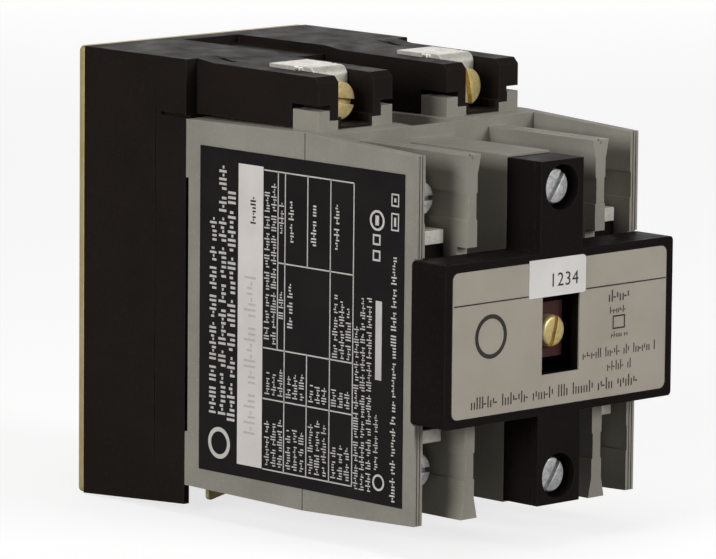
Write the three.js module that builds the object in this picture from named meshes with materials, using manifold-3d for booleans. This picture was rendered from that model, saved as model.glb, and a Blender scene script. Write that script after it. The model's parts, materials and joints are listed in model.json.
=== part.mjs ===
// An industrial control relay: a magnet housing on a steel mounting plate, a contact block with
// four cartridge positions in front of it, and a cross-shaped cover over the contact carrier.
//
// Millimetres. +Z is up, the front faces -Y and +X is to the right of someone facing the front.
// The origin is the centre of the mounting plate's back face, so y = -(distance from the wall).
// Every "depth" below is that distance from the wall.
import * as THREE from "three";
import { mergeVertices } from "three/addons/utils/BufferGeometryUtils.js";
import Module from "manifold-3d";

const wasm = await Module();
wasm.setup();

// ---- driving dimensions ----
const WIDTH = 63.5; // two and a half inches
const HALF_WIDTH = WIDTH / 2;
const SEAT = 0.1; // space left between pieces that rest flat on each other
const FIT = 0.3; // clearance round a piece that sits in a pocket
const AXIS_Z = -3.2; // height of the line the armature and carrier slide along
const STROKE = 4.5; // travel of the armature
const CONTACT_GAP = 3.4; // travel of a contact bridge before it meets its fixed contacts

const PLATE_THICK = 1.5;
const HALF_HEIGHT = 47.4;

const BASE_BACK = PLATE_THICK + SEAT;
const BASE_FRONT = 33.0;
const ARM_FRONT = 69.1;
const ARM_INNER = 7.85;
const ARM_OUTER = 28.6;
const ARM_TOP = 47.1;
const ARM_TOP_FRONT = 46.6;
const ARM_FLANGE_Z = 40.8;
const ARM_STEP_Z = 37.8;
const ARM_FOOT_Z = 35.95;
const COIL_SCREW_X = 18.2;
const COIL_SCREW_Z = 40.8;

const BLOCK_BACK = BASE_FRONT + SEAT;
const BLOCK_SEAM = 68.5;
const BLOCK_FRONT = 100.8;
const BLOCK_TOP = 35.1;
const BLOCK_BOTTOM = -41.3;
const CHAMBER_FRONT = 69.5;
const SLOT_BACK = 73.1;
const OUTER_WALL = 2.3;
const DIVIDER_X = 18.4;
const DIVIDER_HALF = 1.4;
const DIVIDER_FRONT = 103.0;
const POST_HALF = 6.05;
const POST_FRONT = 100.4;

const COVER_BACK = POST_FRONT + SEAT;
const COVER_FRONT = 110.1;
const COVER_SCREW_RISE = 29.4;

const POLE_FACE = 31.5; // depth of the fixed core's pole faces
const ARMATURE_FACE = POLE_FACE + STROKE + 0.2;
const ARMATURE_FRONT = 46.0;
const CROSSBAR_BACK = 58.0;
const CROSSBAR_FRONT = 64.0;
const CARRIER_FACE = 106.0;

const CARTRIDGE_X = 24.65;
const TERMINAL_RISE = 27.6; // contact terminal screws above and below the axis
const PLATFORM = 90.5; // depth of the ledge under a contact terminal
const BRIDGE_BACK = 84.6;

// ---- finishes ----
const finish = (colour, roughness, metalness) => ({ colour, roughness, metalness });
const BLACK_MOULDING = finish("#1f1c1d", 0.45, 0);
const GREY_MOULDING = finish("#9b978e", 0.55, 0);
const MAROON_MOULDING = finish("#4a2527", 0.5, 0);
const CHROMATE = finish("#bfae6e", 0.4, 0.8);
const SILICON_STEEL = finish("#8b8d90", 0.45, 0.9);
const PLATED = finish("#cfccc4", 0.3, 0.9);
const STEEL = finish("#b9bbbf", 0.35, 0.9);
const BRASS = finish("#c4a24e", 0.35, 0.9);
const COPPER = finish("#b87345", 0.4, 0.9);
const SPRING_STEEL = finish("#a9abb0", 0.35, 0.9);
const NYLON = finish("#d8d2bd", 0.6, 0);
const TAPE = finish("#c9b45a", 0.6, 0);
const RUBBER = finish("#262626", 0.9, 0);
const PVC = finish("#222428", 0.6, 0);
const PLATE_GREY = finish("#b1ada4", 0.5, 0);
const PAPER_WHITE = finish("#e6e4df", 0.6, 0);
const LABEL_BLACK = finish("#1c1a1b", 0.4, 0);

// ---- shapes ----
function solid(geometry) {
  const plain = geometry.index ? geometry.toNonIndexed() : geometry.clone();
  plain.deleteAttribute("normal");
  plain.deleteAttribute("uv");
  const merged = mergeVertices(plain, 1e-4);
  return new wasm.Manifold(
    new wasm.Mesh({
      numProp: 3,
      vertProperties: merged.attributes.position.array,
      triVerts: new Uint32Array(merged.index.array),
    }),
  );
}

function join(...solids) {
  return solids.reduce((a, b) => a.add(b));
}

function cut(body, ...tools) {
  return tools.reduce((a, b) => a.subtract(b), body);
}

// A box between two x, two depths and two heights.
function box(x0, x1, d0, d1, z0, z1) {
  const g = new THREE.BoxGeometry(Math.abs(x1 - x0), d1 - d0, z1 - z0);
  g.translate((x0 + x1) / 2, -(d0 + d1) / 2, (z0 + z1) / 2);
  return solid(g);
}

// The same box given by its middle: half a width about x, half a height about z.
function boxAt(x, z, halfX, halfZ, d0, d1) {
  return box(x - halfX, x + halfX, d0, d1, z - halfZ, z + halfZ);
}

// A round bar along the depth.
function bar(x, z, radius, d0, d1, sides = 24) {
  const g = new THREE.CylinderGeometry(radius, radius, d1 - d0, sides);
  g.translate(x, -(d0 + d1) / 2, z);
  return solid(g);
}

// A side outline of [depth, height] points, carried across from x0 to x1.
function sideProfile(points, x0, x1) {
  const shape = new THREE.Shape(points.map(([d, z]) => new THREE.Vector2(d, z)));
  const g = new THREE.ExtrudeGeometry(shape, { depth: x1 - x0, bevelEnabled: false });
  const forward = new THREE.Vector3(0, -1, 0);
  const up = new THREE.Vector3(0, 0, 1);
  const left = new THREE.Vector3(-1, 0, 0);
  g.applyMatrix4(new THREE.Matrix4().makeBasis(forward, up, left).setPosition(x1, 0, 0));
  return solid(g);
}

// A front outline (a THREE.Shape in x and z), carried forward from depth d0 to d1.
function frontProfile(shape, d0, d1, curveSegments = 6) {
  const g = new THREE.ExtrudeGeometry(shape, { depth: d1 - d0, bevelEnabled: false, curveSegments });
  const right = new THREE.Vector3(1, 0, 0);
  const up = new THREE.Vector3(0, 0, 1);
  const forward = new THREE.Vector3(0, -1, 0);
  g.applyMatrix4(new THREE.Matrix4().makeBasis(right, up, forward).setPosition(0, -d0, 0));
  return solid(g);
}

function roundedRect(x, z, halfX, halfZ, radius) {
  const s = new THREE.Shape();
  s.moveTo(x - halfX + radius, z - halfZ);
  s.lineTo(x + halfX - radius, z - halfZ);
  s.absarc(x + halfX - radius, z - halfZ + radius, radius, -Math.PI / 2, 0, false);
  s.lineTo(x + halfX, z + halfZ - radius);
  s.absarc(x + halfX - radius, z + halfZ - radius, radius, 0, Math.PI / 2, false);
  s.lineTo(x - halfX + radius, z + halfZ);
  s.absarc(x - halfX + radius, z + halfZ - radius, radius, Math.PI / 2, Math.PI, false);
  s.lineTo(x - halfX, z - halfZ + radius);
  s.absarc(x - halfX + radius, z - halfZ + radius, radius, Math.PI, 1.5 * Math.PI, false);
  return s;
}

// A slotted screw along the depth: the head's underside is at depth seat, its slot turned by angle.
function slottedScrew(x, z, headRadius, headThick, seat, shankRadius, tip, angle) {
  const crown = 0.35;
  const profile = [
    [0, 0],
    [headRadius, 0],
    [headRadius, headThick - crown],
    [headRadius - crown, headThick],
    [0, headThick],
  ].map(([r, h]) => new THREE.Vector2(r, h));
  const head = new THREE.LatheGeometry(profile, 28);
  head.rotateX(Math.PI);
  head.translate(x, -seat, z);
  const slotDepth = 0.5 * headThick;
  const slot = new THREE.BoxGeometry(3 * headRadius, 2 * slotDepth, 0.28 * headRadius);
  slot.rotateY(angle);
  slot.translate(x, -(seat + headThick), z);
  const shank = bar(x, z, shankRadius, tip, seat + 0.2, 16);
  return cut(join(solid(head), shank), solid(slot));
}

class Helix extends THREE.Curve {
  constructor(x, z, radius, d0, d1, turns) {
    super();
    Object.assign(this, { x, z, radius, d0, d1, turns });
  }
  getPoint(t, target = new THREE.Vector3()) {
    const a = 2 * Math.PI * this.turns * t;
    const depth = this.d0 + (this.d1 - this.d0) * t;
    return target.set(this.x + this.radius * Math.cos(a), -depth, this.z + this.radius * Math.sin(a));
  }
}

function wireAlong(curve, wireRadius, steps, sides) {
  const shape = new THREE.Shape();
  for (let i = 0; i < sides; i++) {
    const a = (2 * Math.PI * i) / sides;
    const p = [wireRadius * Math.cos(a), wireRadius * Math.sin(a)];
    if (i === 0) shape.moveTo(...p);
    else shape.lineTo(...p);
  }
  return solid(new THREE.ExtrudeGeometry(shape, { steps, bevelEnabled: false, extrudePath: curve }));
}

function spring(x, z, coilRadius, wireRadius, d0, d1, turns, stepsPerTurn) {
  const curve = new Helix(x, z, coilRadius, d0 + wireRadius, d1 - wireRadius, turns);
  return wireAlong(curve, wireRadius, Math.round(turns * stepsPerTurn), 5);
}

// ---- pieces ----
const relay = new THREE.Group();

function place(name, body, { colour, roughness, metalness }) {
  const m = body.getMesh();
  const g = new THREE.BufferGeometry();
  const vertices = new Float32Array(m.numVert * 3);
  for (let i = 0; i < m.numVert; i++) {
    const from = i * m.numProp;
    vertices.set(m.vertProperties.subarray(from, from + 3), i * 3);
  }
  g.setAttribute("position", new THREE.BufferAttribute(vertices, 3));
  g.setIndex(new THREE.BufferAttribute(m.triVerts, 1));
  const flat = g.toNonIndexed();
  flat.computeVertexNormals();
  const mesh = new THREE.Mesh(
    flat,
    new THREE.MeshStandardMaterial({ color: colour, roughness, metalness }),
  );
  mesh.name = name;
  relay.add(mesh);
}

// Both sides of the relay: [name ending, sign of x].
const SIDES = [
  ["left", -1],
  ["right", 1],
];
// Both ends of a cartridge: [name ending, sign of the rise above the axis].
const ENDS = [
  ["top", 1],
  ["bottom", -1],
];

// Steel plate with two keyhole slots near the top and one open slot at the bottom.
function mountingPlate() {
  const keyX = 20;
  const keyZ = 35.5;
  const keySlotTop = 41;
  const headHole = 4.4;
  const studHole = 2.3;
  const past = 1;
  const front = PLATE_THICK + past;
  const corner = 1.2;
  let plate = frontProfile(roundedRect(0, 0, HALF_WIDTH, HALF_HEIGHT, corner), 0, PLATE_THICK, 4);
  for (const [, side] of SIDES) {
    const x = side * keyX;
    const head = bar(x, keyZ, headHole, -past, front);
    const neck = box(x - studHole, x + studHole, -past, front, keyZ, keySlotTop);
    const end = bar(x, keySlotTop, studHole, -past, front, 16);
    plate = cut(plate, join(head, neck, end));
  }
  const slotTop = -41;
  const open = box(-studHole, studHole, -past, front, -HALF_HEIGHT - past, slotTop);
  return cut(plate, join(open, bar(0, slotTop, studHole, -past, front, 16)));
}

// Magnet housing with its two terminal arms.
function baseHousing() {
  const frontBottom = -45.4;
  const outline = [
    [BASE_BACK, -HALF_HEIGHT],
    [BASE_FRONT, frontBottom],
    [BASE_FRONT, HALF_HEIGHT],
    [BASE_BACK, HALF_HEIGHT],
  ];
  let body = sideProfile(outline, -HALF_WIDTH, HALF_WIDTH);
  for (const [, side] of SIDES) body = body.add(terminalArm(side));
  const past = 1;
  const magnetRoom = boxAt(0, AXIS_Z, 22, 31, BASE_BACK - past, 31);
  const coilWindow = boxAt(0, AXIS_Z, 20, 30.8, 30, BASE_FRONT + past);
  const topRoom = box(-28.5, 28.5, BASE_BACK - past, 30, 31, 44.5);
  const bottomRoom = box(-28.5, 28.5, BASE_BACK - past, 12, -44.5, -37.2);
  const topChannel = box(-ARM_INNER, ARM_INNER, 6, BASE_FRONT + past, 45.6, HALF_HEIGHT + past);
  // open underneath between two thin cheeks, to reach the plate's lowest screw
  const cheek = 1.4;
  const inside = HALF_WIDTH - cheek;
  const underside = box(-inside, inside, 13.5, BASE_FRONT + past, -HALF_HEIGHT - past, -41.6);
  body = cut(body, magnetRoom, coilWindow, topRoom, bottomRoom, topChannel, underside);
  for (const [, side] of SIDES) {
    const x = side * COIL_SCREW_X;
    const leadHole = boxAt(x, 29.4, 1.7, 2.4, 22.5, 29);
    const leadDuct = boxAt(x, LEAD_Z, 1.5, 1.1, 29, TERMINAL_LEG - 0.1);
    const clipSlot = boxAt(side * CLIP_X, CLIP_Z, CLIP_HALF + FIT, 0.8, CLIP_BACK - FIT, BASE_FRONT + past);
    body = cut(body, leadHole, leadDuct, clipSlot);
  }
  return body;
}

const STRAP_THICK = 1.0;
const STRAP_HALF = 5.3;
const STRAP_TOP = 47.5;
const STRAP_BOTTOM = STRAP_TOP - STRAP_THICK;
const STRAP_BACK = 49.0;
const STRAP_NECK = 58.0; // the strap narrows here to the width of its leg
const STRAP_BEND = 2.0; // outside radius of the bend from strap to leg
const TERMINAL_LEG = 60.9; // depth of the back of a coil terminal's upright leg
const LEG_FRONT = TERMINAL_LEG + STRAP_THICK;
const LEG_HALF = 4.6;
const LEG_BOTTOM = 38.6;
const POCKET_HALF = 4.9;
const LEAD_Z = 43.9; // height of a coil lead inside its arm
const ARM_WAIST = 61.3; // the arm is full and deep behind this, waisted and stepped in front of it

function terminalArm(side) {
  const lo = (a, b) => Math.min(side * a, side * b);
  const hi = (a, b) => Math.max(side * a, side * b);
  const span = (a, b, ...rest) => box(lo(a, b), hi(a, b), ...rest);
  const rear = 31;
  const past = 1;
  const edge = 1.2;
  const outline = [
    [rear, ARM_FOOT_Z],
    [ARM_WAIST, ARM_FOOT_Z],
    [ARM_WAIST, ARM_FLANGE_Z],
    [ARM_FRONT, ARM_FLANGE_Z],
    [ARM_FRONT, ARM_TOP_FRONT - edge],
    [ARM_FRONT - edge, ARM_TOP_FRONT],
    [rear, ARM_TOP - 0.2],
  ];
  const flange = sideProfile(outline, lo(ARM_INNER, ARM_OUTER), hi(ARM_INNER, ARM_OUTER));
  const waist = span(11.2, 25.3, rear, ARM_FRONT, ARM_STEP_Z, ARM_FLANGE_Z + past);
  const foot = span(13.7, 22.9, rear, ARM_FRONT, ARM_FOOT_Z, ARM_STEP_Z + past);
  const x = side * COIL_SCREW_X;
  const legRoom = TERMINAL_LEG - 0.2;
  const above = ARM_TOP + past;
  const bed = STRAP_HALF + FIT;
  const pocket = box(x - POCKET_HALF, x + POCKET_HALF, legRoom, ARM_FRONT + past, 38.2, above);
  const lowPocket = box(x - 4.0, x + 4.0, legRoom, ARM_FRONT + past, 36.4, 43);
  const shankHole = bar(x, COIL_SCREW_Z, 2.0, 55, TERMINAL_LEG, 16);
  const bendRoom = box(x - POCKET_HALF, x + POCKET_HALF, STRAP_NECK, TERMINAL_LEG, 45.2, above);
  const strapBed = box(x - bed, x + bed, STRAP_BACK - FIT, STRAP_NECK + FIT, STRAP_BOTTOM - FIT, above);
  return cut(join(flange, waist, foot), pocket, lowPocket, shankHole, bendRoom, strapBed);
}

// A quarter turn of [depth, height] points from straight up to straight forward.
function forwardBend(depth, z, radius, steps = 6) {
  return Array.from({ length: steps + 1 }, (_, i) => {
    const a = ((Math.PI / 2) * i) / steps;
    return [depth + radius * Math.sin(a), z + radius * Math.cos(a)];
  });
}

// Plated strap on top of an arm, bent down in front into a leg behind the coil terminal screw.
function coilTerminal(side) {
  const x = side * COIL_SCREW_X;
  const bendDepth = LEG_FRONT - STRAP_BEND;
  const bendZ = STRAP_TOP - STRAP_BEND;
  const outline = [
    [STRAP_BACK, STRAP_TOP],
    ...forwardBend(bendDepth, bendZ, STRAP_BEND),
    [LEG_FRONT, LEG_BOTTOM],
    [TERMINAL_LEG, LEG_BOTTOM],
    ...forwardBend(bendDepth, bendZ, STRAP_BEND - STRAP_THICK).reverse(),
    [STRAP_BACK, STRAP_BOTTOM],
  ];
  const bent = sideProfile(outline, x - LEG_HALF, x + LEG_HALF);
  const wide = boxAt(x, STRAP_TOP - STRAP_THICK / 2, STRAP_HALF, STRAP_THICK / 2, STRAP_BACK, STRAP_NECK);
  const hole = bar(x, COIL_SCREW_Z, 2.0, TERMINAL_LEG - 1, LEG_FRONT + 1, 16);
  return cut(join(bent, wide), hole);
}

const CLAMP_THICK = 0.8;
const COIL_CLAMP = LEG_FRONT + 0.2;
const COIL_SCREW_SEAT = COIL_CLAMP + CLAMP_THICK + SEAT;

function clampPlate(x, z, half, d0) {
  const hole = bar(x, z, 2.0, d0 - 1, d0 + CLAMP_THICK + 1, 16);
  return cut(boxAt(x, z, half, half, d0, d0 + CLAMP_THICK), hole);
}

// Grey contact block: rear chamber for the armature, four open slots in front, tabs under the arms.
function contactBlock() {
  const past = 1;
  const seamTop = BLOCK_TOP + 0.6;
  const seamBottom = BLOCK_BOTTOM - 0.4;
  const frontTop = 34.1;
  const frontBottom = -40.5;
  const outline = [
    [BLOCK_BACK, BLOCK_BOTTOM],
    [BLOCK_SEAM, seamBottom],
    [BLOCK_FRONT, frontBottom],
    [BLOCK_FRONT, frontTop],
    [BLOCK_SEAM, seamTop],
    [BLOCK_BACK, BLOCK_TOP],
  ];
  let body = sideProfile(outline, -HALF_WIDTH, HALF_WIDTH);
  const beyond = 60;
  // clear everything in front of the chamber but the outer walls, then put dividers and post back
  const inner = HALF_WIDTH - OUTER_WALL;
  body = cut(body, box(-inner, inner, SLOT_BACK, BLOCK_FRONT + past, -beyond, beyond));
  for (const [, side] of SIDES) body = body.add(divider(side));
  const postRise = 35.4;
  body = body.add(boxAt(0, AXIS_Z, POST_HALF, postRise, SLOT_BACK - past, POST_FRONT));
  // deck channel between the two inner tabs, level with the top of the post
  const channelFloor = 32.8;
  const postBack = SLOT_BACK - 0.01;
  body = cut(body, box(-POST_HALF, POST_HALF, BLOCK_BACK - past, postBack, channelFloor, beyond));
  body = cut(body, box(-28.5, 28.5, BLOCK_BACK - past, CHAMBER_FRONT, -38, 31.5));
  // slots in the floor for the tongues of the clips
  const slotHalf = CLIP_HALF + FIT;
  const slotRear = CLIP_FRONT - CLIP_SHEET - FIT;
  for (const [, side] of SIDES)
    body = cut(body, boxAt(side * CLIP_X, -40, slotHalf, 3, slotRear, CLIP_FRONT + FIT));
  // room for the carrier through the wall and the post
  body = cut(body, boxAt(0, AXIS_Z, 5.0, 6.1, CHAMBER_FRONT - past, POST_FRONT + past));
  for (const x of [-CARTRIDGE_X, -11.5, 11.5, CARTRIDGE_X])
    body = cut(body, boxAt(x, AXIS_Z, 2.7, 7.4, CHAMBER_FRONT - past, SLOT_BACK + past));
  // the cover's crossbar closes over the outer walls here
  const notchRise = 16.8;
  const notchBack = POST_FRONT - 0.2;
  body = cut(body, boxAt(0, AXIS_Z, HALF_WIDTH + past, notchRise, notchBack, BLOCK_FRONT + past));
  for (const [, end] of ENDS) {
    const z = AXIS_Z + end * COVER_SCREW_RISE;
    body = cut(body, bar(0, z, 1.9, 94, POST_FRONT + past, 16));
  }
  // the rear edge stands back a little between its two ears
  const beside = HALF_WIDTH + past;
  body = cut(body, box(-beside, beside, BLOCK_BACK - past, BLOCK_BACK + 0.8, -30, 23));
  const tallTab = 39.7;
  const lowTab = 37.6;
  for (const [, side] of SIDES) {
    body = join(body, tab(side, ARM_OUTER, 25.5, tallTab), tab(side, 25.6, 23.1, lowTab));
    body = join(body, tab(side, ARM_INNER, 11.0, tallTab), tab(side, 10.9, 13.5, lowTab));
  }
  return body;
}

// Upright tab on the deck, between two distances from the middle.
function tab(side, a, b, top) {
  const x0 = Math.min(side * a, side * b);
  const x1 = Math.max(side * a, side * b);
  return box(x0, x1, 61.6, ARM_FRONT, BLOCK_TOP - 1, top);
}

// Wall between two cartridge positions, flared along its top and bottom edges.
function divider(side) {
  const top = 33.6;
  const bottom = -40.2;
  const x = side * DIVIDER_X;
  const start = SLOT_BACK - 1;
  const flareHalf = 2.3;
  const flareDeep = 4.1;
  const s = new THREE.Shape();
  s.moveTo(x - flareHalf, bottom);
  s.lineTo(x + flareHalf, bottom);
  s.lineTo(x + DIVIDER_HALF, bottom + flareDeep);
  s.lineTo(x + DIVIDER_HALF, top - flareDeep);
  s.lineTo(x + flareHalf, top);
  s.lineTo(x - flareHalf, top);
  s.lineTo(x - DIVIDER_HALF, top - flareDeep);
  s.lineTo(x - DIVIDER_HALF, bottom + flareDeep);
  const wall = frontProfile(s, start, DIVIDER_FRONT);
  const coverRoom = boxAt(x, AXIS_Z, 4, 18.1, POST_FRONT - 0.2, DIVIDER_FRONT + 1);
  return cut(wall, coverRoom);
}

// Black cover: a crossbar over the cartridges and a column on the centre post.
function frontCover() {
  const barHalf = 32.7;
  const barRise = 16.5;
  const columnRise = 35.0;
  const wall = 2.2;
  const past = 1;
  const back = COVER_BACK - past;
  const corner = 0.9;
  const outline = roundedRect(0, AXIS_Z, barHalf, barRise, corner);
  const shell = frontProfile(outline, COVER_BACK, COVER_FRONT, 3);
  const column = boxAt(0, AXIS_Z, POST_HALF, columnRise, COVER_BACK, COVER_FRONT);
  let body = join(shell, column);
  body = cut(body, boxAt(0, AXIS_Z, barHalf - wall, barRise - wall, back, COVER_FRONT - wall));
  body = cut(body, boxAt(0, AXIS_Z, WINDOW_HALF, WINDOW_RISE, back, COVER_FRONT + past));
  const bed = roundedRect(0, AXIS_Z, NAMEPLATE_HALF + 0.15, NAMEPLATE_RISE + 0.15, 1.6);
  body = cut(body, frontProfile(bed, COVER_FRONT - 0.4, COVER_FRONT + past, 4));
  for (const [, end] of ENDS) {
    const z = AXIS_Z + end * COVER_SCREW_RISE;
    body = cut(body, bar(0, z, 4.7, WASHER_BACK - SEAT, COVER_FRONT + past, 28));
    body = cut(body, bar(0, z, 2.0, back, COVER_FRONT, 16));
  }
  return body;
}

const WASHER_BACK = 105.7;
const WASHER_THICK = 0.6;
const COVER_SCREW_SEAT = WASHER_BACK + WASHER_THICK + SEAT;
const WINDOW_HALF = 5.35;
const WINDOW_RISE = 8.25;
const NAMEPLATE_HALF = 30.7;
const NAMEPLATE_RISE = 14.75;
const NAMEPLATE_FRONT = COVER_FRONT + 0.15;

// Washer held captive under a cover screw's head.
function coverWasher(end) {
  const z = AXIS_Z + end * COVER_SCREW_RISE;
  const disc = bar(0, z, 3.8, WASHER_BACK, WASHER_BACK + WASHER_THICK, 28);
  return cut(disc, bar(0, z, 1.95, WASHER_BACK - 1, WASHER_BACK + 2, 16));
}

function nameplate() {
  const outline = roundedRect(0, AXIS_Z, NAMEPLATE_HALF, NAMEPLATE_RISE, 1.5);
  const plate = frontProfile(outline, COVER_FRONT - 0.3, NAMEPLATE_FRONT, 4);
  return cut(plate, boxAt(0, AXIS_Z, WINDOW_HALF, WINDOW_RISE, COVER_FRONT - 2, COVER_FRONT + 2));
}

// Small number sticker over the top edge of the nameplate.
function numberSticker() {
  const back = NAMEPLATE_FRONT + 0.05;
  return box(-9.4, 6.8, back, back + 0.15, AXIS_Z + 7.6, AXIS_Z + 15.3);
}

function ratingLabel() {
  return box(-HALF_WIDTH - 0.3, -HALF_WIDTH - 0.05, 37.7, 97.5, -37.2, 30.2);
}

const CLIP_X = 25.5;
const CLIP_HALF = 2.6;
const CLIP_Z = -37.2; // height of the clip's strip, in the housing's wall and just over the block's floor
const CLIP_BACK = 22.5;
const CLIP_FRONT = 36.4;
const CLIP_SHEET = 0.9;

// Chromated strip out of the housing, bent down through the block's floor into a hanging tongue.
function blockClip(side) {
  const bottom = -44.6;
  const slant = 0.8;
  const corner = 1.0;
  const outer = side * (CLIP_X + CLIP_HALF);
  const inner = side * (CLIP_X - CLIP_HALF);
  const s = new THREE.Shape();
  s.moveTo(outer, CLIP_Z);
  s.lineTo(outer, bottom + corner);
  s.quadraticCurveTo(outer, bottom, outer - side * corner, bottom);
  s.lineTo(inner, bottom + slant);
  s.lineTo(inner, CLIP_Z);
  const tongue = frontProfile(s, CLIP_FRONT - CLIP_SHEET, CLIP_FRONT);
  const strip = boxAt(side * CLIP_X, CLIP_Z, CLIP_HALF, CLIP_SHEET / 2, CLIP_BACK, CLIP_FRONT);
  return join(strip, tongue);
}

const CORE_HALF = 10; // half the lamination stack
const MID_LEG = 8;
const LEG_IN = 21;
const LEG_OUT = 29;

// E-shaped stack of laminations with its legs reaching forward from depth back to depth front.
function eCore(back, yoke, front, legsForward) {
  const first = Math.min(back, front);
  const last = Math.max(back, front);
  const gapFrom = legsForward ? back + yoke : first - 1;
  const gapTo = legsForward ? last + 1 : back - yoke;
  let body = boxAt(0, AXIS_Z, CORE_HALF, LEG_OUT, first, last);
  for (const [, end] of ENDS) {
    const z = AXIS_Z + (end * (MID_LEG + LEG_IN)) / 2;
    body = cut(body, boxAt(0, z, CORE_HALF + 1, (LEG_IN - MID_LEG) / 2, gapFrom, gapTo));
  }
  return body;
}

function fixedCore() {
  const back = 3.2;
  let body = eCore(back, 7.6, POLE_FACE, true);
  for (const [, end] of ENDS)
    body = cut(body, boxAt(0, AXIS_Z + end * 24.9, CORE_HALF + 1, 0.9, 29.1, POLE_FACE + 1));
  return body;
}

// Copper ring let into a pole face.
function shadingRing(end) {
  const z = AXIS_Z + end * 27.4;
  const outer = boxAt(0, z, 11.5, 3.1, 29.3, 30.7);
  return cut(outer, boxAt(0, z, CORE_HALF + FIT, 1.9, 28, 32));
}

const BOBBIN_BACK = 11.1;
const BOBBIN_FRONT = 30.6;
const FLANGE = 1.5;

function coilBobbin() {
  const tube = boxAt(0, AXIS_Z, 11.6, 9.6, BOBBIN_BACK, BOBBIN_FRONT);
  const rear = boxAt(0, AXIS_Z, 19.5, 20.6, BOBBIN_BACK, BOBBIN_BACK + FLANGE);
  const front = boxAt(0, AXIS_Z, 19.5, 20.6, BOBBIN_FRONT - FLANGE, BOBBIN_FRONT);
  const bore = boxAt(0, AXIS_Z, CORE_HALF + FIT, MID_LEG + FIT, 0, 40);
  return cut(join(tube, rear, front), bore);
}

// A layer wound on the bobbin between two distances from its core.
function wound(innerX, innerZ, outerX, outerZ, innerRound, outerRound) {
  const d0 = BOBBIN_BACK + FLANGE + 0.2;
  const d1 = BOBBIN_FRONT - FLANGE - 0.2;
  const outer = frontProfile(roundedRect(0, AXIS_Z, outerX, outerZ, outerRound), d0, d1, 4);
  const inner = frontProfile(roundedRect(0, AXIS_Z, innerX, innerZ, innerRound), d0 - 1, d1 + 1, 4);
  return cut(outer, inner);
}

// Insulated lead from the coil up through the housing to a coil terminal.
function coilLead(side) {
  const x = side * COIL_SCREW_X;
  const points = [
    [side * 13, 24, 18.6],
    [x, 25, 25.5],
    [x, 26, 32],
    [x, 26.6, 39],
    [x, 29.2, LEAD_Z - 0.7],
    [x, 34, LEAD_Z],
    [x, 46, LEAD_Z],
    [x, TERMINAL_LEG - 0.5, LEAD_Z],
  ].map(([a, d, z]) => new THREE.Vector3(a, -d, z));
  return wireAlong(new THREE.CatmullRomCurve3(points, false, "centripetal"), 0.6, 26, 6);
}

function armature() {
  const body = eCore(ARMATURE_FRONT, 6.6, ARMATURE_FACE, false);
  return cut(body, bar(0, AXIS_Z, 2.0, ARMATURE_FACE - 1, ARMATURE_FRONT + 1, 16));
}

// Maroon carrier: foot on the armature, crossbar that works the cartridges, shaft out to the window.
function carrier() {
  const foot = boxAt(0, AXIS_Z, 10, 24, ARMATURE_FRONT + SEAT, 49.5);
  const neck = boxAt(0, AXIS_Z, 8, 9, 49.0, CROSSBAR_BACK + 1);
  const crossbar = boxAt(0, AXIS_Z, 28, 5, CROSSBAR_BACK, CROSSBAR_FRONT);
  const shaft = boxAt(0, AXIS_Z, 4.7, 5.7, CROSSBAR_FRONT - 1, CARRIER_FACE);
  const bore = bar(0, AXIS_Z, 2.0, 40, CARRIER_FACE + 1, 16);
  return cut(join(foot, neck, crossbar, shaft), bore);
}

// ---- contact cartridge ----
const CARTRIDGE_BACK = SLOT_BACK + 0.2;
const CARTRIDGE_HALF = 4.6;
const STRIP = 1.0; // thickness of a terminal strip
const STRIP_HALF = 3.5;
const STRIP_TURN = 20.5; // where the strip turns back into the body, above the axis
const STEP_RISE = 19.8; // the deeper middle of a cartridge ends here, above the axis
const STEP_FRONT = 96.5;
const FIXED_CONTACT = BRIDGE_BACK - CONTACT_GAP - 0.05;

// Side outline between two rises above the axis, mirrored to the other end of the cartridge.
function ended(x, halfX, d0, d1, rise0, rise1, end) {
  const z0 = AXIS_Z + end * rise0;
  const z1 = AXIS_Z + end * rise1;
  return box(x - halfX, x + halfX, d0, d1, Math.min(z0, z1), Math.max(z0, z1));
}

function cartridgeBody(x) {
  const past = 1;
  const roomHalf = 3.8;
  const low = boxAt(x, AXIS_Z, CARTRIDGE_HALF, 33.2, CARTRIDGE_BACK, PLATFORM);
  const high = boxAt(x, AXIS_Z, CARTRIDGE_HALF, STEP_RISE, CARTRIDGE_BACK, STEP_FRONT);
  const room = boxAt(x, AXIS_Z, roomHalf, 13.2, 76, 94.5);
  const plungerHole = boxAt(x, AXIS_Z, 2.6, 2.6, CARTRIDGE_BACK - past, 77);
  let body = cut(join(low, high), room, plungerHole);
  for (const [, end] of ENDS) {
    const back = FIXED_CONTACT - 2.3;
    const turned = STRIP_TURN + STRIP + FIT;
    const footSlot = ended(x, roomHalf, back, back + STRIP + 0.6, 13, turned, end);
    const riserSlot = ended(x, roomHalf, back, PLATFORM + past, STRIP_TURN - FIT, turned, end);
    const screwHole = bar(x, AXIS_Z + end * TERMINAL_RISE, 2.0, 82, PLATFORM + past, 16);
    body = cut(body, footSlot, riserSlot, screwHole);
  }
  return body;
}

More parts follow.
